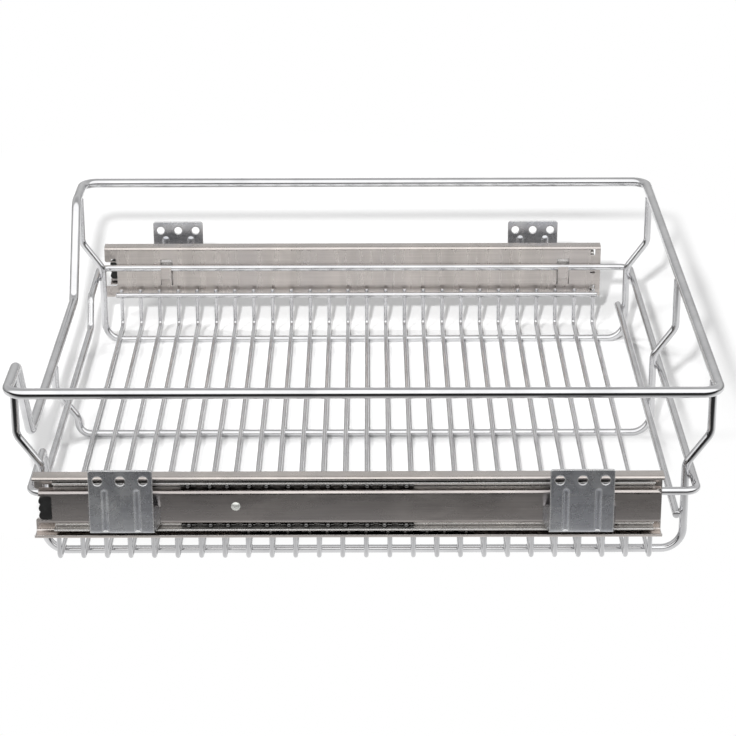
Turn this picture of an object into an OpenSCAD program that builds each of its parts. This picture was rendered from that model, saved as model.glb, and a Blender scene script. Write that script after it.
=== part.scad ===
// Pull-out cabinet basket: a welded wire basket on a pair of three-member ball-bearing slides,
// which hang on four pressed brackets screwed to the cabinet's sides.
// Millimetres, +Z up. The basket pulls out towards -Y, and its left and right slides lie at -X and +X.
// The origin is the centre of the outline, level with the underside of the lowest wires.

/* [Top rim] */
// Width of the rim, centre to centre of its wire
rim_w = 504; // [498:1:510]
// Depth of the rim, centre to centre of its wire
rim_d = 504.6; // [500:0.1:510]
// Height of the rim wire's centre
rim_z = 140.2; // [130:0.1:160]
// Diameter of the rim wire
rim_wire = 8; // [7:0.1:8]
// Height of the lowered front of the rim, at the wire's centre
rim_dip_z = 66.5; // [62:0.1:72]
// Width of the lowered front at its top
rim_dip_top_w = 394; // [370:1:400]
// Width of the lowered front at its bottom
rim_dip_bottom_w = 290; // [270:1:300]

/* [Middle frame] */
// Width of the middle frame, centre to centre of its wire
mid_w = 492.4; // [490:0.1:496]
// Depth of the middle frame, centre to centre of its wire
mid_d = 480.6; // [480:0.1:482]
// Height of the middle frame's side rails
mid_z = 61.4; // [60:0.1:63]
// Height of the lowered front of the middle frame
mid_dip_z = 35.5; // [34:0.1:36]
// Diameter of the middle frame's wire
mid_wire = 6; // [5.8:0.1:6]

/* [Hoops] */
// Distance of the outer hoops from the middle one
hoop_pitch = 218.8; // [210:0.1:222]
// Diameter of the hoop wire
hoop_wire = 6; // [5.9:0.1:6]
// Height at which the risers start to step outwards
hoop_step_z = 71; // [70:0.5:76]
// Height that the step takes
hoop_step_h = 24; // [20:0.5:30]
// Height at which the middle hoop's front riser starts to step outwards
hoop_low_step_z = 17.4; // [17:0.1:18]

/* [Floor] */
// Number of floor wires
floor_count = 26; // [12:1:26]
// Diameter of a floor wire
floor_wire_d = 3.5; // [3.4:0.1:3.6]
// Distance from one floor wire to the next
floor_pitch = 17.15; // [16:0.01:17.2]
// Place of the first floor wire, counted from the front
floor_front_y = -221.2; // [-222:0.1:-218]
// Height of the floor wires' turned-up ends
floor_tip_z = 42; // [40:0.5:46]
// Diameter of the side wires
side_wire_d = 5; // [4.8:0.1:5.2]
// Diameter of the back wire
back_wire_d = 6; // [5.5:0.1:6]

/* [Slides] */
// Length of the slides
slide_l = 450; // [450:1:450]
// Place of the slides' front end
slide_front_y = -236; // [-238:0.5:-234]
// Height of the slides' middle line
slide_z = 56; // [55.5:0.1:56.5]
// Thickness of the slide members' sheet
sheet = 1.2; // [1.1:0.05:1.2]
// Height of the outer channel
outer_h = 48; // [47.8:0.1:48.2]
// Depth of the outer channel
outer_depth = 13; // [12.8:0.1:13.2]
// Height of the middle channel
middle_h = 37.6; // [37.5:0.1:37.7]
// Height of the inner channel
inner_h = 26; // [25.9:0.1:26.1]

/* [Brackets] */
// Distance between the outer faces of the left and right brackets
bracket_span = 564; // [562:1:568]
// Width of a bracket
bracket_w = 45; // [42:0.5:48]
// Height of a bracket's plate
bracket_h = 49; // [47:0.5:52]
// Thickness of the bracket's sheet
bracket_t = 1.5; // [1.5:0.1:1.5]
// Distance from one screw hole to the next
hole_pitch = 16; // [15:0.5:16]
// Diameter of a screw hole
hole_d = 7; // [6:0.1:7.5]
// Place of the front brackets' middle line
front_bracket_y = -171; // [-176:1:-166]
// Place of the back brackets' middle line
back_bracket_y = 154; // [150:1:160]

/* [Hidden] */
$fn = 32;

// How far welded wires sink into each other
weld = 0.1;

// How far a wire's straight runs reach into its bends, and how much thicker its bends are
bend_lap = 0.1;
bend_swell = 0.04;

// Bend radii at the wires' centre lines
rim_bend = 13;
mid_bend = 9;
hoop_bend = 16;
hoop_low_bend = 10;
hoop_step_bend = 12;
floor_bend = 5.5;

// The rim and the middle frame
rim_x = rim_w / 2;
rim_y = rim_d / 2;
mid_x = mid_w / 2;
mid_y = mid_d / 2;
mid_dip_top_x = 169;
mid_dip_bottom_x = 158;

// The hoops stand just inside the middle frame and step out to end under the rim
hoop_z = hoop_wire / 2 + bend_swell;
hoop_y = mid_y - (mid_wire + hoop_wire) / 2 + 2 * weld;
hoop_inset = 0.6;
hoop_top_y = rim_y - hoop_inset;
rim_reach = rim_wire / 2 - 2 * weld;

// The floor wires lie on the hoops. Their ends stand outside the side wires and reach above them.
floor_z = hoop_z + (hoop_wire + floor_wire_d) / 2 - weld;
floor_tip_inset = 2.45;
floor_tip_x = mid_x - floor_tip_inset;
side_wire_drop = 4.4;
side_wire_front_over = 4.8;
side_wire_back_over = 3.5;
side_wire_x = floor_tip_x - (floor_wire_d + side_wire_d) / 2 + weld;
side_wire_z = floor_tip_z - side_wire_drop;
side_wire_front_y = floor_front_y - side_wire_front_over;
side_wire_back_y = floor_front_y + (floor_count - 1) * floor_pitch + side_wire_back_over;

// The back wire lies inside the back risers and ends just past the outer ones
back_wire_over = 7.2;
back_wire_x = hoop_pitch + back_wire_over;
back_wire_y = hoop_y - (hoop_wire + back_wire_d) / 2 + weld;
back_wire_z = 33;

// The slides lie against the middle frame. Depths u count outwards from the outer channel's web.
frame_gap = 0.05;
slide_x = mid_x + mid_wire / 2 + frame_gap;
slide_back_y = slide_front_y + slide_l;
web_bend = 2.4;
lip_bend = 1.6;
outer_lip = 2.7;
lip_end = outer_h / 2 - outer_lip;
middle_u = 2.5;
middle_reach = 11.2;
middle_bend = 1.8;
middle_setback = [14, 6];
middle_front_y = slide_front_y + middle_setback[0];
middle_back_y = slide_back_y - middle_setback[1];
inner_u = 5;
inner_face_u = 12.2;
inner_setback = [4, 1.5];
inner_front_y = slide_front_y + inner_setback[0];
inner_back_y = slide_back_y - inner_setback[1];
inner_round = 5;

// The notches at the front ends of the outer and the inner channel
outer_notch_z = [-13, 10];
outer_notch_l = 11;
inner_notch_h = 18.5;
inner_notch_l = 9;
notch_round = 2;

// The tongues, punched out of the outer channels' webs, that grip the middle frame
tongue_w = 9.4;
tongue_t = 1.2;
tongue_places = [-180, 180];
tongue_root_z = 44;
tongue_root_h = 1.4;
tongue_knee_z = 53;
tongue_knee_drop = 0.6;
tongue_tip_z = 62.9;
tongue_x = mid_x - mid_wire / 2 - frame_gap;
window_w = 11;
window_top_z = 68.4;

// Small slots in the outer channels' webs: place from front to back, height, width, and height of the slot
slots = [[-228, 68.1, 4.2, 3], [207, 74.7, 4.2, 5.6], [207, 55.3, 4.2, 1.8], [207, 40.6, 4.2, 5.6]];

// How far a cut reaches past the sheet that it cuts
over = 1;

// The ball cages. Balls stand in pairs: a wide step, then a narrow one.
cage_t = 0.5;
cage_strip_t = 0.6;
cage_reach = 8.3;
cage_end = 5.4;
balls_in_row = 12;
wide_step = 15.7;
narrow_step = 12.4;
ball_u = 8.2;
ball_hole_gap = 0.1;
inner_ball_r = 2;
outer_ball_r = 1.7;
inner_ball_v = 15.3;
outer_ball_v = 20.8;
inner_cage_u = 4.1;
outer_cage_u = 1.6;
inner_cage_front_y = -131;
outer_cage_front_y = -88;
cage_l = 2 * cage_end + ball_place(balls_in_row - 1);
cage_slot = [4.5, 3];

// The bumpers, in the notches of the inner channels
bumper_u = [8.5, 12.9];
bumper_lobe_r = 3;
bumper_lobe_step = 5.6;

// The brackets
bracket_x = bracket_span / 2;
bracket_z = 45;
bracket_bend = 2;
bracket_round = 2;
bracket_flange_z = 57;
bracket_foot_x = slide_x + inner_face_u;
bracket_depth = bracket_x - bracket_foot_x;
hole_drop = 8;
hole_z = bracket_z + bracket_h - hole_drop;
rib_spread = 22.8;
rib_top_z = 79.5;
rib_axis_gap = 1.3;
rib_groove_r = 2.7;
rib_centre_z = rib_top_z - sqrt(pow(rib_groove_r, 2) - pow(rib_axis_gap, 2));

// The gussets are the brackets' side walls. They flare outwards from the plate to the foot.
gusset_plate_z = 66;
gusset_flare = 10;
foot_w = bracket_w + 2 * bracket_depth * tan(gusset_flare);

// The rivets: two in each bracket, and a stop rivet in each inner channel
rivet_r = 2.5;
rivet_gap = 0.05;
rivet_head_r = 4;
rivet_head_h = 1.2;
rivet_spread = 24;
rivet_z = 52;
stop_rivet_y = -91.3;
stop_rivet_z = 57;
stop_rivet_r = 3.5;

// The colours of the plated wires, the slides, the brackets and the bumpers
wire_colour = "gainsboro";
slide_colour = "silver";
bracket_colour = "lightslategray";
bumper_colour = "black";

SIDES = ["left", "right"];

function unit(v) = v / norm(v);
function floor_name(i) = str("floor_wire_", i < 10 ? "0" : "", i);
function floor_y(i) = floor_front_y + (i - 1) * floor_pitch;

// Place of ball i in its row, counted from the first ball
function ball_place(i) = floor(i / 2) * (wide_step + narrow_step) + (i % 2) * wide_step;

// Moves what is drawn along +Z to a start point, with given X and Z directions
module aligned(start, x_dir, z_dir) {
    y_dir = cross(z_dir, x_dir);
    multmatrix([
        [x_dir.x, y_dir.x, z_dir.x, start.x],
        [x_dir.y, y_dir.y, z_dir.y, start.y],
        [x_dir.z, y_dir.z, z_dir.z, start.z],
        [0, 0, 0, 1]
    ]) children();
}

// Sweeps a section, centred on its origin, along straight runs with a bend at each corner.
// The section's Y axis follows the given normal, which no run is parallel to. The runs reach
// a lap into the bends, which draw the section with $swell added, so that they hold the runs' ends.
module swept(points, bends, normal, closed = false, lap = 0) {
    count = len(points);
    runs = [for (i = [0 : count - 1]) unit(points[(i + 1) % count] - points[i])];
    turns = [for (i = [0 : count - 1])
        closed || (i > 0 && i < count - 1) ? acos(runs[(i + count - 1) % count] * runs[i]) : 0];
    trims = [for (i = [0 : count - 1]) bends[i] * tan(turns[i] / 2)];
    laps = [for (turn = turns) turn > 0 ? lap : 0];
    for (i = [0 : closed ? count - 1 : count - 2]) {
        next = (i + 1) % count;
        start = points[i] + runs[i] * (trims[i] - laps[i]);
        stop = points[next] - runs[i] * (trims[next] - laps[next]);
        $swell = 0;
        aligned(start, unit(cross(normal, runs[i])), runs[i])
            linear_extrude(norm(stop - start)) children();
    }
    for (i = [0 : count - 1]) {
        if (turns[i] > 0) {
            before = runs[(i + count - 1) % count];
            inward = unit(runs[i] - before * (before * runs[i]));
            centre = points[i] - before * trims[i] + inward * bends[i];
            $swell = bend_swell;
            aligned(centre, -inward, cross(-inward, before))
                rotate_extrude(angle = turns[i]) translate([bends[i], 0]) children();
        }
    }
}

// A round wire along corners
module bent_wire(points, bends, normal, diameter, closed = false) {
    color(wire_colour) swept(points, bends, normal, closed, bend_lap) circle(r = diameter / 2 + $swell);
}

// A sheet folded along corners in the XZ plane, from a place on Y over a length
module folded(corners, bends, thickness, from_y, length) {
    points = [for (c = corners) [c.x, from_y + length / 2, c.y]];
    swept(points, bends, [0, 1, 0]) square([thickness, length], center = true);
}

// Draws the right-hand piece, or its mirror image
module on_side(side) {
    if (side == "left") {
        mirror([1, 0, 0]) children();
    } else {
        children();
    }
}

module top_rim() {
    top_x = rim_dip_top_w / 2;
    bottom_x = rim_dip_bottom_w / 2;
    bent_wire([
        [-rim_x, -rim_y, rim_z], [-rim_x, rim_y, rim_z], [rim_x, rim_y, rim_z], [rim_x, -rim_y, rim_z],
        [top_x, -rim_y, rim_z], [bottom_x, -rim_y, rim_dip_z],
        [-bottom_x, -rim_y, rim_dip_z], [-top_x, -rim_y, rim_z]
    ], [for (i = [1 : 8]) rim_bend], [1, 1, 1], rim_wire, true);
}

module mid_frame() {
    top_x = mid_dip_top_x;
    bottom_x = mid_dip_bottom_x;
    bent_wire([
        [-mid_x, -mid_y, mid_z], [-mid_x, mid_y, mid_z], [mid_x, mid_y, mid_z], [mid_x, -mid_y, mid_z],
        [top_x, -mid_y, mid_z], [bottom_x, -mid_y, mid_dip_z],
        [-bottom_x, -mid_y, mid_dip_z], [-top_x, -mid_y, mid_z]
    ], [for (i = [1 : 8]) mid_bend], [1, 1, 1], mid_wire, true);
}

// A hoop at x, whose front riser steps out from a height and ends under the rim's front
module hoop(x, front_step_z, front_rim_z, front_bend) {
    back_step_z = hoop_step_z;
    bent_wire([
        [x, -hoop_top_y, front_rim_z - rim_reach],
        [x, -hoop_top_y, front_step_z + hoop_step_h],
        [x, -hoop_y, front_step_z],
        [x, -hoop_y, hoop_z],
        [x, hoop_y, hoop_z],
        [x, hoop_y, back_step_z],
        [x, hoop_top_y, back_step_z + hoop_step_h],
        [x, hoop_top_y, rim_z - rim_reach]
    ], [
        0, hoop_step_bend, hoop_step_bend, front_bend,
        hoop_bend, hoop_step_bend, hoop_step_bend, 0
    ], [1, 0, 0], hoop_wire);
}

module floor_wire(i) {
    bent_wire([
        [-floor_tip_x, floor_y(i), floor_tip_z],
        [-floor_tip_x, floor_y(i), floor_z],
        [floor_tip_x, floor_y(i), floor_z],
        [floor_tip_x, floor_y(i), floor_tip_z]
    ], [0, floor_bend, floor_bend, 0], [0, 1, 0], floor_wire_d);
}

module side_wire(side) {
    color(wire_colour) on_side(side) translate([side_wire_x, side_wire_front_y, side_wire_z])
        rotate([-90, 0, 0]) cylinder(h = side_wire_back_y - side_wire_front_y, d = side_wire_d);
}

module back_wire() {
    color(wire_colour) translate([-back_wire_x, back_wire_y, back_wire_z])
        rotate([0, 90, 0]) cylinder(h = 2 * back_wire_x, d = back_wire_d);
}

// A tongue: it leaves the web under its window, leans in to the frame and stands up behind it
module tongue(y) {
    translate([0, y + tongue_w / 2, 0]) rotate([90, 0, 0]) linear_extrude(tongue_w) polygon([
        [slide_x + sheet, tongue_root_z],
        [tongue_x, tongue_knee_z],
        [tongue_x, tongue_tip_z],
        [tongue_x - tongue_t, tongue_tip_z],
        [tongue_x - tongue_t, tongue_knee_z - tongue_knee_drop],
        [slide_x, tongue_root_z - tongue_root_h]
    ]);
}

// A cut through a sheet from x on, centred on a place and a height
module sheet_cut(x, y, z, width, height) {
    translate([x - over, y - width / 2, z - height / 2]) cube([sheet + 2 * over, width, height]);
}

// A notch from the front end of a sheet at x, with rounded inner corners
module notch_cut(x, from_y, length, z, height) {
    translate([x - over, from_y, z]) {
        translate([0, -over, -height / 2]) cube([sheet + 2 * over, length + over - notch_round, height]);
        translate([0, -over, notch_round - height / 2])
            cube([sheet + 2 * over, length + over, height - 2 * notch_round]);
        for (up = [-1, 1]) {
            translate([0, length - notch_round, up * (height / 2 - notch_round)])
                rotate([0, 90, 0]) cylinder(h = sheet + 2 * over, r = notch_round);
        }
    }
}

// Rounds a corner of a sheet that starts at x: what is cut lies towards y_side and z_side of the corner
module corner_cut(x, y, z, y_side, z_side, thickness, radius) {
    translate([x - over, y - y_side * radius, z - z_side * radius])
        mirror([0, y_side < 0 ? 1 : 0, 0]) mirror([0, 0, z_side < 0 ? 1 : 0]) difference() {
            cube([thickness + 2 * over, radius + over, radius + over]);
            rotate([0, 90, 0]) cylinder(h = thickness + 2 * over, r = radius);
        }
}

module outer_channel(side) {
    half = (outer_h - sheet) / 2;
    web_x = slide_x + sheet / 2;
    lip_x = slide_x + outer_depth - sheet / 2;
    notch_h = outer_notch_z[1] - outer_notch_z[0];
    notch_z = slide_z + (outer_notch_z[1] + outer_notch_z[0]) / 2;
    window_h = window_top_z - tongue_root_z;
    color(slide_colour) on_side(side) union() {
        difference() {
            folded([
                [lip_x, slide_z + lip_end], [lip_x, slide_z + half], [web_x, slide_z + half],
                [web_x, slide_z - half], [lip_x, slide_z - half], [lip_x, slide_z - lip_end]
            ], [0, lip_bend, web_bend, web_bend, lip_bend, 0], sheet, slide_front_y, slide_l);
            notch_cut(slide_x, slide_front_y, outer_notch_l, notch_z, notch_h);
            corner_cut(slide_x, slide_front_y, slide_z + outer_notch_z[0], -1, 1, sheet, notch_round);
            corner_cut(slide_x, slide_front_y, slide_z + outer_notch_z[1], -1, -1, sheet, notch_round);
            for (y = tongue_places) {
                sheet_cut(slide_x, y, tongue_root_z + window_h / 2, window_w, window_h);
            }
            for (slot = slots) {
                sheet_cut(slide_x, slot[0], slot[1], slot[2], slot[3]);
            }
        }
        for (y = tongue_places) {
            tongue(y);
        }
    }
}

module middle_channel(side) {
    half = (middle_h - sheet) / 2;
    web_x = slide_x + middle_u + sheet / 2;
    edge_x = slide_x + middle_reach;
    color(slide_colour) on_side(side) folded([
        [edge_x, slide_z + half], [web_x, slide_z + half],
        [web_x, slide_z - half], [edge_x, slide_z - half]
    ], [0, middle_bend, middle_bend, 0], sheet, middle_front_y, middle_back_y - middle_front_y);
}

module inner_channel(side) {
    half = (inner_h - sheet) / 2;
    web_x = slide_x + inner_face_u - sheet / 2;
    inside_x = web_x - sheet / 2;
    edge_x = slide_x + inner_u;
    color(slide_colour) on_side(side) difference() {
        folded([
            [edge_x, slide_z + half], [web_x, slide_z + half],
            [web_x, slide_z - half], [edge_x, slide_z - half]
        ], [0, web_bend, web_bend, 0], sheet, inner_front_y, inner_back_y - inner_front_y);
        notch_cut(inside_x, inner_front_y, inner_notch_l, slide_z, inner_notch_h);
        for (up = [-1, 1]) {
            corner_cut(inside_x, inner_back_y, slide_z + up * inner_h / 2, 1, up, sheet, inner_round);
        }
        for (y = [front_bracket_y, back_bracket_y]) {
            rivet_holes(y);
        }
        rivet_hole(stop_rivet_y, stop_rivet_z);
    }
}

// A ball cage: a web strip with two strips that hold a row of balls each
module cage(cage_u, row_v, ball_r, front_y) {
    height = 2 * row_v + cage_strip_t;
    difference() {
        translate([slide_x + cage_u, front_y, slide_z - height / 2])
            cube([cage_reach - cage_u, cage_l, height]);
        translate([slide_x + cage_u + cage_t, front_y - 1, slide_z - height / 2 + cage_strip_t])
            cube([cage_reach, cage_l + 2, height - 2 * cage_strip_t]);
        for (i = [0 : balls_in_row - 1]) {
            translate([slide_x + ball_u, front_y + cage_end + ball_place(i), slide_z - height])
                cylinder(h = 2 * height, r = ball_r + ball_hole_gap);
        }
        for (i = [0 : balls_in_row - 2]) {
            middle = (ball_place(i) + ball_place(i + 1)) / 2;
            translate([
                slide_x + ball_u - cage_slot.y / 2,
                front_y + cage_end + middle - cage_slot.x / 2,
                slide_z - height
            ]) cube([cage_slot.y, cage_slot.x, 2 * height]);
        }
    }
}

// Both rows of balls of one cage
module balls(row_v, ball_r, front_y) {
    for (v = [-row_v, row_v], i = [0 : balls_in_row - 1]) {
        translate([slide_x + ball_u, front_y + cage_end + ball_place(i), slide_z + v]) sphere(r = ball_r);
    }
}

module outer_cage(side) {
    color(slide_colour) on_side(side) cage(outer_cage_u, outer_ball_v, outer_ball_r, outer_cage_front_y);
}

module outer_balls(side) {
    color(wire_colour) on_side(side) balls(outer_ball_v, outer_ball_r, outer_cage_front_y);
}

module inner_cage(side) {
    color(slide_colour) on_side(side) cage(inner_cage_u, inner_ball_v, inner_ball_r, inner_cage_front_y);
}

module inner_balls(side) {
    color(wire_colour) on_side(side) balls(inner_ball_v, inner_ball_r, inner_cage_front_y);
}

// A bumper: a block with three lobes on its front
module bumper(side) {
    back_y = inner_front_y + inner_notch_l;
    lobe_y = inner_front_y + bumper_lobe_r;
    color(bumper_colour) on_side(side) translate([slide_x + bumper_u[0], 0, slide_z])
        rotate([90, 0, 90]) linear_extrude(bumper_u[1] - bumper_u[0]) {
            translate([lobe_y, -bumper_lobe_step - bumper_lobe_r])
                square([back_y - lobe_y, 2 * (bumper_lobe_step + bumper_lobe_r)]);
            for (step = [-1 : 1]) {
                translate([lobe_y, step * bumper_lobe_step]) circle(r = bumper_lobe_r);
            }
        }
}

// A rod with a round top, from a height up, which stands in front of the plate and shapes a rib
module rib_rod(y, from_z, radius) {
    translate([bracket_x + rib_axis_gap, y, 0]) {
        translate([0, 0, from_z]) cylinder(h = rib_centre_z - from_z, r = radius);
        translate([0, 0, rib_centre_z]) sphere(r = radius);
    }
}

// The back of a rib, where its pressed sheet bulges out of the plate's inner face
module rib_back(y) {
    radius = rib_groove_r + bracket_t;
    plate_x = bracket_x - bracket_t / 2;
    intersection() {
        rib_rod(y, bracket_z + bracket_t / 2, radius);
        translate([plate_x - radius, y - radius, bracket_z]) cube([radius, 2 * radius, bracket_h]);
    }
}

// Draws in the frame of one side's gusset, which turns about the plate's edge: X runs along the wall,
// from 0 at the plate's face towards minus, and the bracket's inside lies on the given side of Y = 0
module at_gusset(y, side_out) {
    translate([bracket_x, y + side_out * bracket_w / 2, 0]) rotate([0, 0, -side_out * gusset_flare])
        children();
}

// A gusset: the side wall of a bracket, from its plate down to its foot
module gusset(y, side_out) {
    foot_u = (bracket_t / 2 - bracket_depth) / cos(gusset_flare);
    plate_u = -bracket_t / 2;
    low_z = bracket_z + bracket_t / 2;
    at_gusset(y, side_out) translate([0, side_out > 0 ? 0 : bracket_t, 0])
        rotate([90, 0, 0]) linear_extrude(bracket_t) polygon([
            [foot_u, bracket_z + bracket_bend], [foot_u + bracket_bend, low_z],
            [plate_u - bracket_bend, low_z], [plate_u, bracket_z + bracket_bend],
            [plate_u, gusset_plate_z], [foot_u, bracket_flange_z]
        ]);
}

// What a gusset's plane cuts off a bracket's foot
module flare_cut(y, side_out) {
    length = bracket_depth / cos(gusset_flare) + 2 * over;
    at_gusset(y, side_out) translate([-length, side_out > 0 ? 0 : -foot_w, bracket_z - over])
        cube([length, foot_w, bracket_h + 2 * over]);
}

// The hole for a rivet through the inner channel's web and a bracket's foot
module rivet_hole(y, z) {
    translate([bracket_foot_x - sheet - over, y, z])
        rotate([0, 90, 0]) cylinder(h = sheet + bracket_t + 2 * over, r = rivet_r + rivet_gap);
}

module rivet_holes(y) {
    for (step = [-0.5, 0.5]) {
        rivet_hole(y + step * rivet_spread, rivet_z);
    }
}

module bracket(side, y) {
    top_z = bracket_z + bracket_h;
    foot_x = bracket_foot_x + bracket_t / 2;
    plate_x = bracket_x - bracket_t / 2;
    low_z = bracket_z + bracket_t / 2;
    color(bracket_colour) on_side(side) difference() {
        union() {
            difference() {
                folded([
                    [foot_x, bracket_flange_z], [foot_x, low_z], [plate_x, low_z], [plate_x, top_z]
                ], [0, bracket_bend, bracket_bend, 0], bracket_t, y - foot_w / 2, foot_w);
                for (side_out = [-1, 1]) {
                    flare_cut(y, side_out);
                }
            }
            for (side_out = [-1, 1]) {
                gusset(y, side_out);
            }
            for (step = [-0.5, 0.5]) {
                rib_back(y + step * rib_spread);
            }
        }
        for (step = [-0.5, 0.5]) {
            rib_rod(y + step * rib_spread, bracket_z + bracket_bend, rib_groove_r);
        }
        for (step = [-1 : 1]) {
            translate([plate_x - bracket_t, y + step * hole_pitch, hole_z])
                rotate([0, 90, 0]) cylinder(h = 2 * bracket_t, d = hole_d);
        }
        for (side_out = [-1, 1]) {
            at_gusset(y, side_out) corner_cut(-bracket_t, 0, top_z, side_out, 1, bracket_t, bracket_round);
        }
        rivet_holes(y);
    }
}

// A domed rivet head of given radius, standing on Z = 0
module rivet_head(radius) {
    dome_r = (pow(radius, 2) + pow(rivet_head_h, 2)) / (2 * rivet_head_h);
    intersection() {
        cylinder(h = rivet_head_h, r = radius);
        translate([0, 0, rivet_head_h - dome_r]) sphere(r = dome_r);
    }
}

// A rivet through the inner channel's web and the sheet on it, of given thickness
module rivet(y, z, head_r, thickness) {
    grip = sheet + thickness;
    translate([bracket_foot_x - sheet, y, z]) rotate([0, 90, 0]) {
        cylinder(h = grip, r = rivet_r);
        translate([0, 0, grip]) rivet_head(head_r);
        mirror([0, 0, 1]) rivet_head(head_r);
    }
}

module rivets(side) {
    color(slide_colour) on_side(side) {
        for (y = [front_bracket_y, back_bracket_y], step = [-0.5, 0.5]) {
            rivet(y + step * rivet_spread, rivet_z, rivet_head_r, bracket_t);
        }
        rivet(stop_rivet_y, stop_rivet_z, stop_rivet_r, 0);
    }
}

top_rim();
mid_frame();
hoop(-hoop_pitch, hoop_step_z, rim_z, hoop_bend);  // hoop_left
hoop(0, hoop_low_step_z, rim_dip_z, hoop_low_bend);  // hoop_middle
hoop(hoop_pitch, hoop_step_z, rim_z, hoop_bend);  // hoop_right
for (i = [1 : floor_count]) {
    floor_wire(i);
}
back_wire();
for (side = SIDES) {
    side_wire(side);
    outer_channel(side);
    middle_channel(side);
    inner_channel(side);
    outer_cage(side);
    outer_balls(side);
    inner_cage(side);
    inner_balls(side);
    bumper(side);
    bracket(side, front_bracket_y);
    bracket(side, back_bracket_y);
    rivets(side);
}
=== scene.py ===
"""Looks of a pull-out cabinet basket: chromed wires with their welds, zinc-plated slides and brackets.

Metres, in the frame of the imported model: +Z up, the basket pulls out towards -Y.
"""
import math

import bmesh
import bpy
from mathutils import Matrix, Vector, noise


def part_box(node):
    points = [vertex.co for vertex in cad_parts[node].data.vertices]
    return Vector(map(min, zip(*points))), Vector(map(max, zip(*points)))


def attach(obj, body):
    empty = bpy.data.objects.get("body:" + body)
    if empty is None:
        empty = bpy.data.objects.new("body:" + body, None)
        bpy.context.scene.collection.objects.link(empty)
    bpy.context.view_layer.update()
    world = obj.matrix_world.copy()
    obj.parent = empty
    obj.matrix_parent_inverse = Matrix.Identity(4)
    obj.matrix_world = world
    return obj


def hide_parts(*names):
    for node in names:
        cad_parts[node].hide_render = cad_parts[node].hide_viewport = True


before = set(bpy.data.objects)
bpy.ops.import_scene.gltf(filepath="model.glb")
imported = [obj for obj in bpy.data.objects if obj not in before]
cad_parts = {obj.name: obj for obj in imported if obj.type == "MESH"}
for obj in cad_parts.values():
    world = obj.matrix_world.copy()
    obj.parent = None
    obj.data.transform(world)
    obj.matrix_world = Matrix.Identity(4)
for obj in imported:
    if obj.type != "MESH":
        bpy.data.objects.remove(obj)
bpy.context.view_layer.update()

SIDES = {"left": -1, "right": 1}
HOOPS = ("hoop_left", "hoop_middle", "hoop_right")
FLOOR_WIRES = sorted(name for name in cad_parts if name.startswith("floor_wire"))

# The camera: place, angles in degrees, lens and sensor in millimetres, and how far it sees
CAMERA_PLACE = Vector((1.84386, 0.00538, 0.78423))
CAMERA_PITCH = 21.4367
CAMERA_YAW = 0.0727
CAMERA_ROLL = -0.1639
CAMERA_LENS = 119.14
CAMERA_SENSOR = 36.0
CAMERA_REACH = 50.0

# Wire radii
RIM_R = 0.004
MID_R = 0.003
HOOP_R = 0.003
FLOOR_R = 0.00175
SIDE_WIRE_R = 0.0025
BACK_WIRE_R = 0.003

# Bend radii at the wires' centre lines
RIM_BEND = 0.013
MID_BEND = 0.009
HOOP_BEND = 0.016
HOOP_LOW_BEND = 0.010
HOOP_STEP_BEND = 0.012
FLOOR_BEND = 0.0055

# Where the lowered fronts start and end, from the middle
RIM_DIP = (0.197, 0.145)
MID_DIP = (0.169, 0.158)

# The hoops: how far out the risers stand, and the heights between which they step outwards
RISER_Y = 0.2345
RISER_TOP_Y = 0.2517
STEP_LOW = 0.071
STEP_RISE = 0.024
MIDDLE_FRONT_STEP_LOW = 0.0174

# Where the middle hoop's front riser touches the lowered front of the middle frame: how far out, and height
MIDDLE_TOUCH = (0.2427, 0.0338)

# How finely wires are drawn, and the rings of their sheared ends: how far in and how wide, in wire radii
WIRE_SIDES = 20
BEND_STEP = math.radians(7.5)
BEND_LEAST_STEPS = 3
END_RINGS = ((0.0, 0.62), (0.08, 0.88), (0.24, 0.98), (0.45, 1.0), (0.8, 1.0))


# ---------------------------------------------------------------- mesh helpers

def add_piece(name, mesh, body, material):
    """A new smooth piece from a mesh, riding on a body."""
    for polygon in mesh.polygons:
        polygon.use_smooth = True
    piece = bpy.data.objects.new(name, mesh)
    bpy.context.scene.collection.objects.link(piece)
    mesh.materials.append(material)
    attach(piece, body)
    return piece


def bent_path(corners, bends, closed):
    """Points along straight runs through the corners, with an arc of the given radius at each one."""
    count = len(corners)
    path = []
    for i, corner in enumerate(corners):
        if not closed and i in (0, count - 1):
            path.append(corner.copy())
            continue
        before = (corner - corners[i - 1]).normalized()
        after = (corners[(i + 1) % count] - corner).normalized()
        turn = before.angle(after)
        trim = bends[i] * math.tan(turn / 2)
        inward = (after - before * before.dot(after)).normalized()
        centre = corner - before * trim + inward * bends[i]
        steps = max(BEND_LEAST_STEPS, math.ceil(turn / BEND_STEP))
        for k in range(steps + 1):
            a = turn * k / steps
            path.append(centre + (before * math.sin(a) - inward * math.cos(a)) * bends[i])
    return path


def directions(path, closed):
    """The direction of the path at each of its points."""
    count = len(path)
    found = []
    for i, point in enumerate(path):
        ahead = path[(i + 1) % count] - point if closed or i < count - 1 else point - path[i - 1]
        back = point - path[i - 1] if closed or i > 0 else ahead
        found.append((ahead.normalized() + back.normalized()).normalized())
    return found


def wire_rings(path, radius, closed):
    """Rings along a wire: centre, two directions across, and radius.

    Where the wire is open, the rings of a sheared end take the place of its first and last ring.
    """
    along = directions(path, closed)
    across = along[0].orthogonal().normalized()
    rings = []
    for point, ahead in zip(path, along):
        across = (across - ahead * across.dot(ahead)).normalized()
        rings.append((point, across.copy(), ahead.cross(across), radius))
    if closed:
        return rings
    first, last = rings[0], rings[-1]
    head = [(first[0] + along[0] * radius * inset, first[1], first[2], radius * share)
            for inset, share in END_RINGS]
    tail = [(last[0] - along[-1] * radius * inset, last[1], last[2], radius * share)
            for inset, share in reversed(END_RINGS)]
    return head + rings[1:-1] + tail


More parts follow.
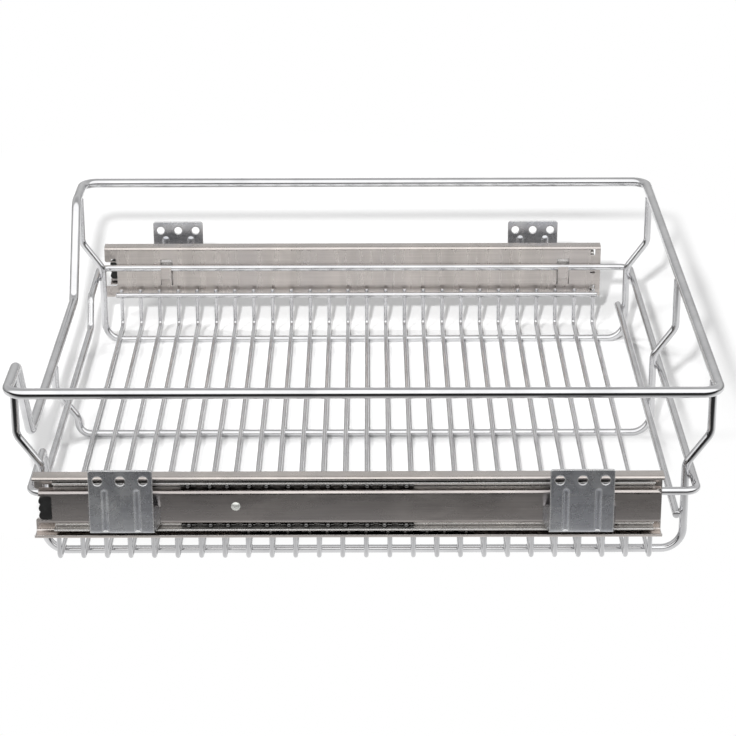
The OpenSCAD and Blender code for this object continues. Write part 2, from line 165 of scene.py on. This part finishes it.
def wire_mesh(name, path, radius, closed):
    """A round wire along a path."""
    build = bmesh.new()
    turns = [2 * math.pi * k / WIRE_SIDES for k in range(WIRE_SIDES)]
    loops = []
    for point, across, up, r in wire_rings(path, radius, closed):
        spots = [point + (across * math.cos(t) + up * math.sin(t)) * r for t in turns]
        loops.append([build.verts.new(spot) for spot in spots])
    spans = len(loops) if closed else len(loops) - 1
    for i in range(spans):
        one, two = loops[i], loops[(i + 1) % len(loops)]
        # Where a closed wire meets its start, its ring has turned, and is joined at the nearest points
        shift = 0
        if i == len(loops) - 1:
            shift = min(range(WIRE_SIDES), key=lambda s: (one[0].co - two[s].co).length)
        for k in range(WIRE_SIDES):
            after = (k + 1) % WIRE_SIDES
            build.faces.new((one[k], one[after],
                             two[(after + shift) % WIRE_SIDES], two[(k + shift) % WIRE_SIDES]))
    if not closed:
        build.faces.new(list(reversed(loops[0])))
        build.faces.new(loops[-1])
    mesh = bpy.data.meshes.new(name)
    build.to_mesh(mesh)
    build.free()
    return mesh


# ---------------------------------------------------------------- nodes

# A Mix node has its colour sockets under names that its other types share, so they go by number
MIX_FACTOR, MIX_FIRST, MIX_SECOND, MIX_RESULT = 0, 6, 7, 2

# Most of a noise's values lie between these
NOISE_SPAN = (0.3, 0.7)

BEVEL_SAMPLES = 8
RECESS_SAMPLES = 6


def shader(name):
    """A new material, its node tree and its Principled shader."""
    material = bpy.data.materials.new(name)
    material.use_nodes = True
    return material, material.node_tree, material.node_tree.nodes["Principled BSDF"]


def place_node(tree, scale=(1, 1, 1)):
    """Coordinates fixed to the piece, scaled: a scale under 1 stretches a pattern along that axis."""
    coordinates = tree.nodes.new("ShaderNodeTexCoord")
    mapping = tree.nodes.new("ShaderNodeMapping")
    mapping.inputs["Scale"].default_value = scale
    tree.links.new(coordinates.outputs["Object"], mapping.inputs["Vector"])
    return mapping.outputs["Vector"]


def noise_node(tree, vector, scale, detail=3.0, roughness=0.5):
    """A noise: features per metre, levels of detail, and how strong the finer levels are."""
    node = tree.nodes.new("ShaderNodeTexNoise")
    node.inputs["Scale"].default_value = scale
    node.inputs["Detail"].default_value = detail
    node.inputs["Roughness"].default_value = roughness
    tree.links.new(vector, node.inputs["Vector"])
    return node.outputs["Fac"]


def ramp_node(tree, fac, stops):
    """Colours over a factor: stops are (place, colour)."""
    node = tree.nodes.new("ShaderNodeValToRGB")
    elements = node.color_ramp.elements
    for element, (position, colour) in zip((elements[0], elements[1]), (stops[0], stops[-1])):
        element.position = position
        element.color = (*colour, 1)
    for position, colour in stops[1:-1]:
        elements.new(position).color = (*colour, 1)
    tree.links.new(fac, node.inputs["Fac"])
    return node.outputs["Color"]


def range_node(tree, value, low, high, from_low=NOISE_SPAN[0], from_high=NOISE_SPAN[1]):
    """A value carried from one range over to another, and held at its ends."""
    node = tree.nodes.new("ShaderNodeMapRange")
    node.inputs["From Min"].default_value = from_low
    node.inputs["From Max"].default_value = from_high
    node.inputs["To Min"].default_value = low
    node.inputs["To Max"].default_value = high
    tree.links.new(value, node.inputs["Value"])
    return node.outputs["Result"]


def math_node(tree, operation, *values):
    """A Math node over numbers and sockets."""
    node = tree.nodes.new("ShaderNodeMath")
    node.operation = operation
    for socket, value in zip(node.inputs, values):
        if isinstance(value, (int, float)):
            socket.default_value = value
        else:
            tree.links.new(value, socket)
    return node.outputs[0]


def mix_colour(tree, fac, one, two, kind="MIX"):
    """Two colours mixed by a factor; each of the three is a number, a colour or a socket."""
    node = tree.nodes.new("ShaderNodeMix")
    node.data_type = "RGBA"
    node.blend_type = kind
    for number, value in ((MIX_FACTOR, fac), (MIX_FIRST, one), (MIX_SECOND, two)):
        socket = node.inputs[number]
        if isinstance(value, (float, int)):
            socket.default_value = value
        elif isinstance(value, tuple):
            socket.default_value = (*value, 1)
        else:
            tree.links.new(value, socket)
    return node.outputs[MIX_RESULT]


def mix_shader(tree, fac, one, two):
    """The first shader at a factor of 0, the second at 1."""
    node = tree.nodes.new("ShaderNodeMixShader")
    for socket, value in zip(node.inputs, (fac, one, two)):
        tree.links.new(value, socket)
    return node.outputs[0]


def bump_node(tree, shade, height, strength, distance, rounded=None):
    """Bump from a height, over the surface's own normal or a rounded one."""
    node = tree.nodes.new("ShaderNodeBump")
    node.inputs["Strength"].default_value = strength
    node.inputs["Distance"].default_value = distance
    tree.links.new(height, node.inputs["Height"])
    if rounded:
        tree.links.new(rounded, node.inputs["Normal"])
    tree.links.new(node.outputs["Normal"], shade.inputs["Normal"])


def rounded_node(tree, radius):
    """The normal over slightly rounded edges, and its cosine to the real one: 1 on the flat."""
    bevel = tree.nodes.new("ShaderNodeBevel")
    bevel.samples = BEVEL_SAMPLES
    bevel.inputs["Radius"].default_value = radius
    dot = tree.nodes.new("ShaderNodeVectorMath")
    dot.operation = "DOT_PRODUCT"
    geometry = tree.nodes.new("ShaderNodeNewGeometry")
    tree.links.new(bevel.outputs["Normal"], dot.inputs[0])
    tree.links.new(geometry.outputs["Normal"], dot.inputs[1])
    return bevel.outputs["Normal"], dot.outputs["Value"]


def recess_node(tree, reach):
    """0 deep in a gap, 1 in the open."""
    node = tree.nodes.new("ShaderNodeAmbientOcclusion")
    node.samples = RECESS_SAMPLES
    node.inputs["Distance"].default_value = reach
    return node.outputs["AO"]


# ---------------------------------------------------------------- materials

# The noises of sheet steel: features per metre, levels of detail, and how strong the finer levels are
SHEET_PATCHES = (55, 4, 0.6)
SHEET_TINTS = (24, 2)
SHEET_STREAKS = (700, 3)
SHEET_SCRATCHES = (420, 2, 0.7)
SHEET_GLOSS = (140, 4)
SHEET_SKIN = (260, 4)

# Between which of its noise's values each of these comes up, and how strong the tint gets
PATCH_SPAN = (0.35, 0.65)
TINT_SPAN = (0.42, 0.62)
TINT_MOST = 0.85
SCRATCH_SPAN = (0.60, 0.74)

# Roller streaks run along the slides, and scratches lie level: scales of their coordinates. Then how much
# the streaks darken and lighten the sheet
STREAK_STRETCH = (1, 0.02, 1)
SCRATCH_STRETCH = (0.25, 0.12, 1.0)
STREAK_LIGHT = (0.93, 1.05)

# Bump of the sheet: strength and height. Rounded edges: radii, and the cosines between which a highlight is
# painted on them
SHEET_BUMP = (0.10, 0.0003)
EDGE_ROUND = 0.0005
LIP_ROUND = 0.0008
BRACKET_ROUND = 0.0012
EDGE_HIGHLIGHT_SPAN = (0.85, 0.995)

# How wide a gap still gets painted shade
RECESS_REACH = 0.006

# The painted shade laid into gaps and recesses
RECESS_SHADE = (0.05, 0.045, 0.04)
SCRATCH_COLOUR = (0.62, 0.62, 0.63)
# The painted highlight on rounded edges
EDGE_HIGHLIGHT = (0.78, 0.78, 0.77)


def speckled_material(name, metal, tones, clouds, rough, gloss, skin, bump):
    """Clouds of two tones, uneven gloss and a fine skin, where clouds, gloss and skin are noises."""
    material, tree, shade = shader(name)
    place = place_node(tree)
    shade.inputs["Metallic"].default_value = metal
    colour = ramp_node(tree, noise_node(tree, place, *clouds), list(zip(NOISE_SPAN, tones)))
    tree.links.new(colour, shade.inputs["Base Color"])
    roughness = range_node(tree, noise_node(tree, place, *gloss), *rough)
    tree.links.new(roughness, shade.inputs["Roughness"])
    bump_node(tree, shade, noise_node(tree, place, *skin), *bump)
    return material


def sheet_material(name, tones, rough=(0.24, 0.38), grain=(1, 1, 1), recess=(0.05, 0.50),
                   scratches=0.0, edges=0.6, metal=1.0, rounding=EDGE_ROUND):
    """Plated sheet steel: patches of three tones, roller streaks, a painted highlight on rounded edges,
    painted shade in recesses.

    Recess is the openness at which painted shade fills a gap, and that at which it is gone. Edges is how
    strong the painted highlight on rounded edges gets.
    """
    material, tree, shade = shader(name)
    dark, light, tint = tones
    patched = place_node(tree, grain)
    streaked = place_node(tree, STREAK_STRETCH)
    patches = noise_node(tree, patched, *SHEET_PATCHES)
    base = ramp_node(tree, patches, list(zip(PATCH_SPAN, (dark, light))))
    tints = range_node(tree, noise_node(tree, patched, *SHEET_TINTS), 0.0, TINT_MOST, *TINT_SPAN)
    colour = mix_colour(tree, tints, base, tint)
    streaks = range_node(tree, noise_node(tree, streaked, *SHEET_STREAKS), *STREAK_LIGHT)
    colour = mix_colour(tree, 1.0, colour, streaks, "MULTIPLY")
    if scratches:
        lines = noise_node(tree, place_node(tree, SCRATCH_STRETCH), *SHEET_SCRATCHES)
        fine = range_node(tree, lines, 0.0, scratches, *SCRATCH_SPAN)
        colour = mix_colour(tree, fine, colour, SCRATCH_COLOUR)
    rounded, flat = rounded_node(tree, rounding)
    # A painted highlight on the rounded edges, as strong as edges says
    edge_highlight = range_node(tree, flat, edges, 0.0, *EDGE_HIGHLIGHT_SPAN)
    colour = mix_colour(tree, edge_highlight, colour, EDGE_HIGHLIGHT)
    # Painted shade in gaps and recesses, by how open each spot is
    unshaded = range_node(tree, recess_node(tree, RECESS_REACH), 0.0, 1.0, *recess)
    shade.inputs["Metallic"].default_value = metal
    tree.links.new(mix_colour(tree, unshaded, RECESS_SHADE, colour), shade.inputs["Base Color"])
    roughness = range_node(tree, noise_node(tree, patched, *SHEET_GLOSS), *rough)
    tree.links.new(roughness, shade.inputs["Roughness"])
    bump_node(tree, shade, noise_node(tree, patched, *SHEET_SKIN), *SHEET_BUMP, rounded)
    return material


# Bright chrome on drawn wire: faint clouds in the plating, fine pits
CHROME = speckled_material(
    "wire_chrome", metal=1, tones=((0.60, 0.60, 0.61), (0.72, 0.72, 0.73)), clouds=(38,),
    rough=(0.07, 0.15), gloss=(900, 2), skin=(420, 4), bump=(0.05, 0.0002))

# Plated weld metal: duller and rougher than the wires
WELD = speckled_material(
    "weld_chrome", metal=1, tones=((0.34, 0.33, 0.33), (0.58, 0.57, 0.57)), clouds=(500,),
    rough=(0.16, 0.34), gloss=(1300,), skin=(900, 4), bump=(0.5, 0.0003))

# Black moulded plastic with a fine spark-eroded skin
PLASTIC = speckled_material(
    "bumper_plastic", metal=0, tones=((0.003, 0.003, 0.003), (0.008, 0.008, 0.008)), clouds=(300,),
    rough=(0.35, 0.55), gloss=(1200,), skin=(2500, 2), bump=(0.2, 0.0001))

# Sheet steel, each with its dark tone, its light tone and its tint
OUTER_STEEL = sheet_material(
    "outer_channel_steel", ((0.56, 0.52, 0.49), (0.66, 0.61, 0.575), (0.59, 0.55, 0.53)),
    rough=(0.24, 0.34), grain=(1, 1, 0.12))
MIDDLE_STEEL = sheet_material(
    "middle_channel_steel", ((0.69, 0.67, 0.65), (0.80, 0.78, 0.75), (0.71, 0.69, 0.67)),
    rough=(0.18, 0.30), edges=1.0, metal=0.85, rounding=LIP_ROUND)
INNER_STEEL = sheet_material(
    "inner_channel_steel", ((0.44, 0.405, 0.39), (0.62, 0.575, 0.55), (0.46, 0.43, 0.42)),
    rough=(0.22, 0.34), grain=(1, 0.35, 1), recess=(-0.2, 0.35))
CAGE_STEEL = sheet_material(
    "cage_steel", ((0.20, 0.20, 0.20), (0.32, 0.32, 0.32), (0.17, 0.17, 0.165)),
    recess=(0.10, 0.70), edges=0.4)
BALL_STEEL = sheet_material(
    "ball_steel", ((0.22, 0.22, 0.22), (0.33, 0.33, 0.33), (0.20, 0.20, 0.20)),
    rough=(0.10, 0.18), recess=(0.1, 0.8), edges=0.0)
BRACKET_STEEL = sheet_material(
    "bracket_steel", ((0.46, 0.47, 0.50), (0.66, 0.67, 0.685), (0.50, 0.51, 0.55)),
    rough=(0.20, 0.34), recess=(-0.5, 0.25), scratches=0.6, edges=1.0, metal=0.9,
    rounding=BRACKET_ROUND)
RIVET_STEEL = sheet_material(
    "rivet_steel", ((0.60, 0.60, 0.58), (0.78, 0.78, 0.75), (0.62, 0.63, 0.60)),
    rough=(0.20, 0.32), edges=0.0, metal=0.7)

# The materials of the CAD nodes that stay, by the start of their names
NODE_MATERIALS = {
    "outer_channel": OUTER_STEEL,
    "middle_channel": MIDDLE_STEEL,
    "inner_channel": INNER_STEEL,
    "outer_cage": CAGE_STEEL,
    "inner_cage": CAGE_STEEL,
    "outer_balls": BALL_STEEL,
    "inner_balls": BALL_STEEL,
    "bumper": PLASTIC,
    "bracket": BRACKET_STEEL,
    "rivets": RIVET_STEEL,
}


def dress_cad_nodes():
    """Materials for the CAD nodes that stay."""
    for name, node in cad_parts.items():
        for start, material in NODE_MATERIALS.items():
            if name.startswith(start):
                node.data.materials.clear()
                node.data.materials.append(material)


# ---------------------------------------------------------------- wires

def wire_piece(name, node, corners, bends, radius, closed=False):
    """A wire in place of its CAD node."""
    path = bent_path([Vector(c) for c in corners], bends, closed)
    piece = add_piece(name, wire_mesh(name, path, radius, closed), "basket", CHROME)
    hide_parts(node)


def frame_wire(name, node, radius, bend, dip):
    """A closed frame with a lowered front, in place of its CAD node."""
    low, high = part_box(node)
    x, y, z = high.x - radius, high.y - radius, high.z - radius
    low_z = low.z + radius
    corners = [
        (-x, -y, z), (-x, y, z), (x, y, z), (x, -y, z),
        (dip[0], -y, z), (dip[1], -y, low_z), (-dip[1], -y, low_z), (-dip[0], -y, z),
    ]
    wire_piece(name, node, corners, [bend] * len(corners), radius, closed=True)


def hoop_wire(node, front_step, front_top, front_bend):
    """A hoop: from under the rim's front, down, across the floor, and up under the rim's back."""
    low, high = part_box(node)
    x, bottom = (low.x + high.x) / 2, low.z + HOOP_R
    corners = [
        (x, -RISER_TOP_Y, front_top), (x, -RISER_TOP_Y, front_step + STEP_RISE),
        (x, -RISER_Y, front_step), (x, -RISER_Y, bottom),
        (x, RISER_Y, bottom), (x, RISER_Y, STEP_LOW),
        (x, RISER_TOP_Y, STEP_LOW + STEP_RISE), (x, RISER_TOP_Y, high.z),
    ]
    bends = [0, HOOP_STEP_BEND, HOOP_STEP_BEND, front_bend, HOOP_BEND, HOOP_STEP_BEND, HOOP_STEP_BEND, 0]
    wire_piece(node + "_wire", node, corners, bends, HOOP_R)


def make_wires():
    """Every wire of the basket, in place of its CAD node."""
    frame_wire("rim_wire", "top_rim", RIM_R, RIM_BEND, RIM_DIP)
    frame_wire("mid_wire", "mid_frame", MID_R, MID_BEND, MID_DIP)
    for node in ("hoop_left", "hoop_right"):
        hoop_wire(node, STEP_LOW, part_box(node)[1].z, HOOP_BEND)
    hoop_wire("hoop_middle", MIDDLE_FRONT_STEP_LOW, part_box("top_rim")[0].z, HOOP_LOW_BEND)
    for node in FLOOR_WIRES:
        low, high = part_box(node)
        x, y, z = high.x - FLOOR_R, (low.y + high.y) / 2, low.z + FLOOR_R
        wire_piece(node.replace("floor_wire", "floor_rod"), node,
                   [(-x, y, high.z), (-x, y, z), (x, y, z), (x, y, high.z)],
                   [0, FLOOR_BEND, FLOOR_BEND, 0], FLOOR_R)
    for side in SIDES:
        low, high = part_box("side_wire_" + side)
        x, z = (low.x + high.x) / 2, (low.z + high.z) / 2
        wire_piece("side_rod_" + side, "side_wire_" + side,
                   [(x, low.y, z), (x, high.y, z)], [0, 0], SIDE_WIRE_R)
    low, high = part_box("back_wire")
    y, z = (low.y + high.y) / 2, (low.z + high.z) / 2
    wire_piece("back_rod", "back_wire", [(low.x, y, z), (high.x, y, z)], [0, 0], BACK_WIRE_R)


# ---------------------------------------------------------------- welds

# Half sizes of a weld: across a thick wire, across a thin one, and how far it stands out
WELD_WIDE = 0.0024
WELD_FINE = 0.0021
WELD_THIN = 0.0010

# How finely a lump is drawn, and how uneven it is: share of its size, and bumps per metre
WELD_SUBDIVISIONS = 2
WELD_SWELL = 0.18
WELD_GRAIN = 900


def add_weld(build, place, sizes):
    """A small lump of weld metal between two wires, squeezed out unevenly."""
    made = bmesh.ops.create_icosphere(build, subdivisions=WELD_SUBDIVISIONS, radius=1.0)
    for vert in made["verts"]:
        out = vert.co.normalized()
        at = place + Vector(s * c for s, c in zip(sizes, out))
        swell = 1 + WELD_SWELL * noise.noise(at * WELD_GRAIN)
        vert.co = place + Vector(s * c * swell for s, c in zip(sizes, out))


def weld_piece(name, spots):
    """One piece with a weld at each spot: place and half sizes."""
    build = bmesh.new()
    for place, sizes in spots:
        add_weld(build, Vector(place), sizes)
    mesh = bpy.data.meshes.new(name)
    build.to_mesh(mesh)
    build.free()
    add_piece(name, mesh, "basket", WELD)


def make_welds():
    """Welds where the wires cross, and under the rim where the risers end."""
    floor_wires = [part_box(node) for node in FLOOR_WIRES]
    hoops = {node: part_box(node) for node in HOOPS}
    crossings = []
    for low, high in floor_wires:
        for hoop_low, hoop_high in hoops.values():
            place = ((hoop_low.x + hoop_high.x) / 2, (low.y + high.y) / 2, low.z)
            crossings.append((place, (WELD_WIDE, WELD_FINE, WELD_THIN)))
    weld_piece("floor_welds", crossings)
    for side, sign in SIDES.items():
        low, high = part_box("side_wire_" + side)
        x = high.x if sign > 0 else low.x
        weld_piece("side_welds_" + side, [
            ((x, (wire_low.y + wire_high.y) / 2, (low.z + high.z) / 2), (WELD_THIN, WELD_FINE, WELD_WIDE))
            for wire_low, wire_high in floor_wires])
    rail_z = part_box("mid_frame")[1].z - MID_R
    back_low, back_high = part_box("back_wire")
    across = (WELD_WIDE, WELD_THIN, WELD_WIDE)
    end = (WELD_WIDE, WELD_WIDE, WELD_THIN)
    joints = []
    for node, (low, high) in hoops.items():
        x = (low.x + high.x) / 2
        joints.append(((x, RISER_Y + HOOP_R, rail_z), across))
        joints.append(((x, back_high.y, (back_low.z + back_high.z) / 2), across))
        joints.append(((x, RISER_TOP_Y, high.z), end))
        if node == "hoop_middle":
            joints.append(((x, -MIDDLE_TOUCH[0], MIDDLE_TOUCH[1]), (WELD_WIDE, WELD_FINE, WELD_FINE)))
            joints.append(((x, -RISER_TOP_Y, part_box("top_rim")[0].z), end))
        else:
            joints.append(((x, -RISER_Y - HOOP_R, rail_z), across))
            joints.append(((x, -RISER_TOP_Y, high.z), end))
    weld_piece("frame_welds", joints)


# ---------------------------------------------------------------- camera

def make_camera():
    """The camera at the photograph's viewing angle, from the right side of the basket."""
    camera = bpy.data.objects.new("camera", bpy.data.cameras.new("camera"))
    bpy.context.scene.collection.objects.link(camera)
    pitch, yaw, roll = (math.radians(a) for a in (CAMERA_PITCH, CAMERA_YAW, CAMERA_ROLL))
    turn = Matrix.Rotation(yaw, 3, "Z")
    forward = turn @ Vector((-math.cos(pitch), 0, -math.sin(pitch)))
    level = turn @ Vector((0, 1, 0))
    top = level.cross(forward)
    right = level * math.cos(roll) + top * math.sin(roll)
    up = top * math.cos(roll) - level * math.sin(roll)
    aim = Matrix((right, up, -forward)).transposed().to_4x4()
    camera.matrix_world = Matrix.Translation(CAMERA_PLACE) @ aim
    camera.data.sensor_width = CAMERA_SENSOR
    camera.data.lens = CAMERA_LENS
    camera.data.clip_end = CAMERA_REACH
    bpy.context.scene.camera = camera


# ---------------------------------------------------------------- floor

# Half the floor's side. How much of its white is glow near the object, where shadows show, the distances
# from a point over which it turns to all glow, and that point
FLOOR_HALF = 6.0
FLOOR_GLOW = 0.05
FLOOR_FAR = (0.42, 0.56)
FLOOR_FAR_FROM = (-0.35, -0.12, 0.0)

# The lit table in the metal's eyes: light as far as these edges, then dark over a soft border
TABLE_X = 0.22
TABLE_Y = 0.75
TABLE_BORDER = 0.22
TABLE_LIGHT = 0.95
TABLE_DARK = 0.03


def seen_by_camera_or_metal(tree):
    """1 on camera, glossy and transmission rays."""
    path = tree.nodes.new("ShaderNodeLightPath")
    total = path.outputs["Is Camera Ray"]
    for name in ("Is Glossy Ray", "Is Transmission Ray"):
        total = math_node(tree, "MAXIMUM", total, path.outputs[name])
    return total


def table_light(tree):
    """How bright the metal sees the floor: light under and near the basket, dark further out."""
    coordinates = tree.nodes.new("ShaderNodeTexCoord")
    split = tree.nodes.new("ShaderNodeSeparateXYZ")
    tree.links.new(coordinates.outputs["Object"], split.inputs[0])
    past_x = math_node(tree, "SUBTRACT", split.outputs["X"], TABLE_X)
    past_y = math_node(tree, "SUBTRACT", math_node(tree, "ABSOLUTE", split.outputs["Y"]), TABLE_Y)
    past = math_node(tree, "MAXIMUM", past_x, past_y)
    return range_node(tree, past, TABLE_LIGHT, TABLE_DARK, 0.0, TABLE_BORDER)


def floor_glow(tree):
    """How much of the floor is plain glow: little near the object, all of it further off."""
    coordinates = tree.nodes.new("ShaderNodeTexCoord")
    distance = tree.nodes.new("ShaderNodeVectorMath")
    distance.operation = "DISTANCE"
    distance.inputs[1].default_value = FLOOR_FAR_FROM
    tree.links.new(coordinates.outputs["Object"], distance.inputs[0])
    return range_node(tree, distance.outputs["Value"], FLOOR_GLOW, 1.0, *FLOOR_FAR)


def make_floor():
    """A white floor that keeps the object's shadow."""
    mesh = bpy.data.meshes.new("floor")
    h = FLOOR_HALF
    mesh.from_pydata([(-h, -h, 0), (h, -h, 0), (h, h, 0), (-h, h, 0)], [], [(0, 1, 2, 3)])
    floor = bpy.data.objects.new("floor", mesh)
    bpy.context.scene.collection.objects.link(floor)
    material = bpy.data.materials.new("floor_white")
    material.use_nodes = True
    tree = material.node_tree
    tree.nodes.clear()
    path = tree.nodes.new("ShaderNodeLightPath")
    colour = mix_colour(tree, path.outputs["Is Glossy Ray"], (1.0, 1.0, 1.0), table_light(tree))
    diffuse = tree.nodes.new("ShaderNodeBsdfDiffuse")
    tree.links.new(colour, diffuse.inputs["Color"])
    glow = tree.nodes.new("ShaderNodeEmission")
    tree.links.new(colour, glow.inputs["Color"])
    share = math_node(tree, "MULTIPLY", seen_by_camera_or_metal(tree), floor_glow(tree))
    output = tree.nodes.new("ShaderNodeOutputMaterial")
    tree.links.new(mix_shader(tree, share, diffuse.outputs[0], glow.outputs[0]), output.inputs["Surface"])
    mesh.materials.append(material)


# ---------------------------------------------------------------- world

# How bright the metal sees the studio, as (height, brightness), where height goes from 0, straight down,
# over 0.5, level, to 1, straight up. Front is the camera's side. The two change over between these X of the
# direction. Then the strength of the fill
STUDIO_FRONT = [(0.0, 0.03), (0.570, 0.03), (0.640, 1.5), (1.0, 1.5)]
STUDIO_BACK = [(0.0, 0.9), (0.497, 0.9), (0.505, 0.42), (0.70, 0.72), (1.0, 0.5)]
STUDIO_TURN = (-0.05, 0.2)
FILL = 0.14
WHITE = (1, 1, 1, 1)


def grey_ramp(tree, fac, stops):
    """Greys over a factor: stops are (place, brightness)."""
    return ramp_node(tree, fac, [(place, (grey, grey, grey)) for place, grey in stops])


def make_world():
    """White to the camera, soft fill on the object. The metal sees a bright front over a dark horizon."""
    world = bpy.data.worlds.new("studio")
    bpy.context.scene.world = world
    world.use_nodes = True
    tree = world.node_tree
    tree.nodes.clear()
    coordinates = tree.nodes.new("ShaderNodeTexCoord")
    split = tree.nodes.new("ShaderNodeSeparateXYZ")
    tree.links.new(coordinates.outputs["Generated"], split.inputs[0])
    height = math_node(tree, "MULTIPLY_ADD", split.outputs["Z"], 0.5, 0.5)
    turn = range_node(tree, split.outputs["X"], 0.0, 1.0, *STUDIO_TURN)
    studio = mix_colour(tree, turn, grey_ramp(tree, height, STUDIO_BACK),
                        grey_ramp(tree, height, STUDIO_FRONT))
    metal = tree.nodes.new("ShaderNodeBackground")
    tree.links.new(studio, metal.inputs["Color"])
    fill = tree.nodes.new("ShaderNodeBackground")
    fill.inputs["Strength"].default_value = FILL
    fill.inputs["Color"].default_value = WHITE
    white = tree.nodes.new("ShaderNodeBackground")
    white.inputs["Color"].default_value = WHITE
    path = tree.nodes.new("ShaderNodeLightPath")
    lit = mix_shader(tree, path.outputs["Is Glossy Ray"], fill.outputs[0], metal.outputs[0])
    seen = math_node(tree, "MAXIMUM", path.outputs["Is Camera Ray"], path.outputs["Is Transmission Ray"])
    output = tree.nodes.new("ShaderNodeOutputWorld")
    tree.links.new(mix_shader(tree, seen, lit, white.outputs[0]), output.inputs["Surface"])


# ---------------------------------------------------------------- lights

# A flash beside the camera, a soft light overhead behind the object, and a broad key light
FLASH_PLACE = Vector((1.64, -0.14, 0.92))
FLASH_SIZE = 0.07
FLASH_WATTS = 10.0
TOP_PLACE = Vector((-0.8, -0.26, 1.5))
TOP_SIZE = 0.25
TOP_WATTS = 8.0
KEY_FROM = Vector((1.1, -0.5, 1.0))
KEY_SPREAD = math.radians(9)
KEY_STRENGTH = 1.2


def add_light(name, kind, place):
    """A light that looks at the object's middle. The metal shows the studio round it, not the lamp."""
    lamp = bpy.data.objects.new(name, bpy.data.lights.new(name, kind))
    bpy.context.scene.collection.objects.link(lamp)
    lamp.location = place
    lamp.visible_glossy = False
    lamp.rotation_mode = "QUATERNION"
    lamp.rotation_quaternion = (-place).to_track_quat("-Z", "Y")
    return lamp.data


def add_disk(name, place, size, watts):
    """A round lamp."""
    lamp = add_light(name, "AREA", place)
    lamp.shape = "DISK"
    lamp.size = size
    lamp.energy = watts
    return lamp


def make_lights():
    """The three lights. The flash doesn't fade with distance, so near and far sides are lit alike."""
    flash = add_disk("flash", FLASH_PLACE, FLASH_SIZE, FLASH_WATTS)
    flash.use_nodes = True
    tree = flash.node_tree
    falloff = tree.nodes.new("ShaderNodeLightFalloff")
    falloff.inputs["Strength"].default_value = 1
    tree.links.new(falloff.outputs["Constant"], tree.nodes["Emission"].inputs["Strength"])
    add_disk("top", TOP_PLACE, TOP_SIZE, TOP_WATTS)
    key = add_light("key", "SUN", KEY_FROM)
    key.angle = KEY_SPREAD
    key.energy = KEY_STRENGTH


make_camera()
make_floor()
make_world()
make_lights()
dress_cad_nodes()
make_wires()
make_welds()
bpy.context.scene.view_settings.view_transform = "Standard"
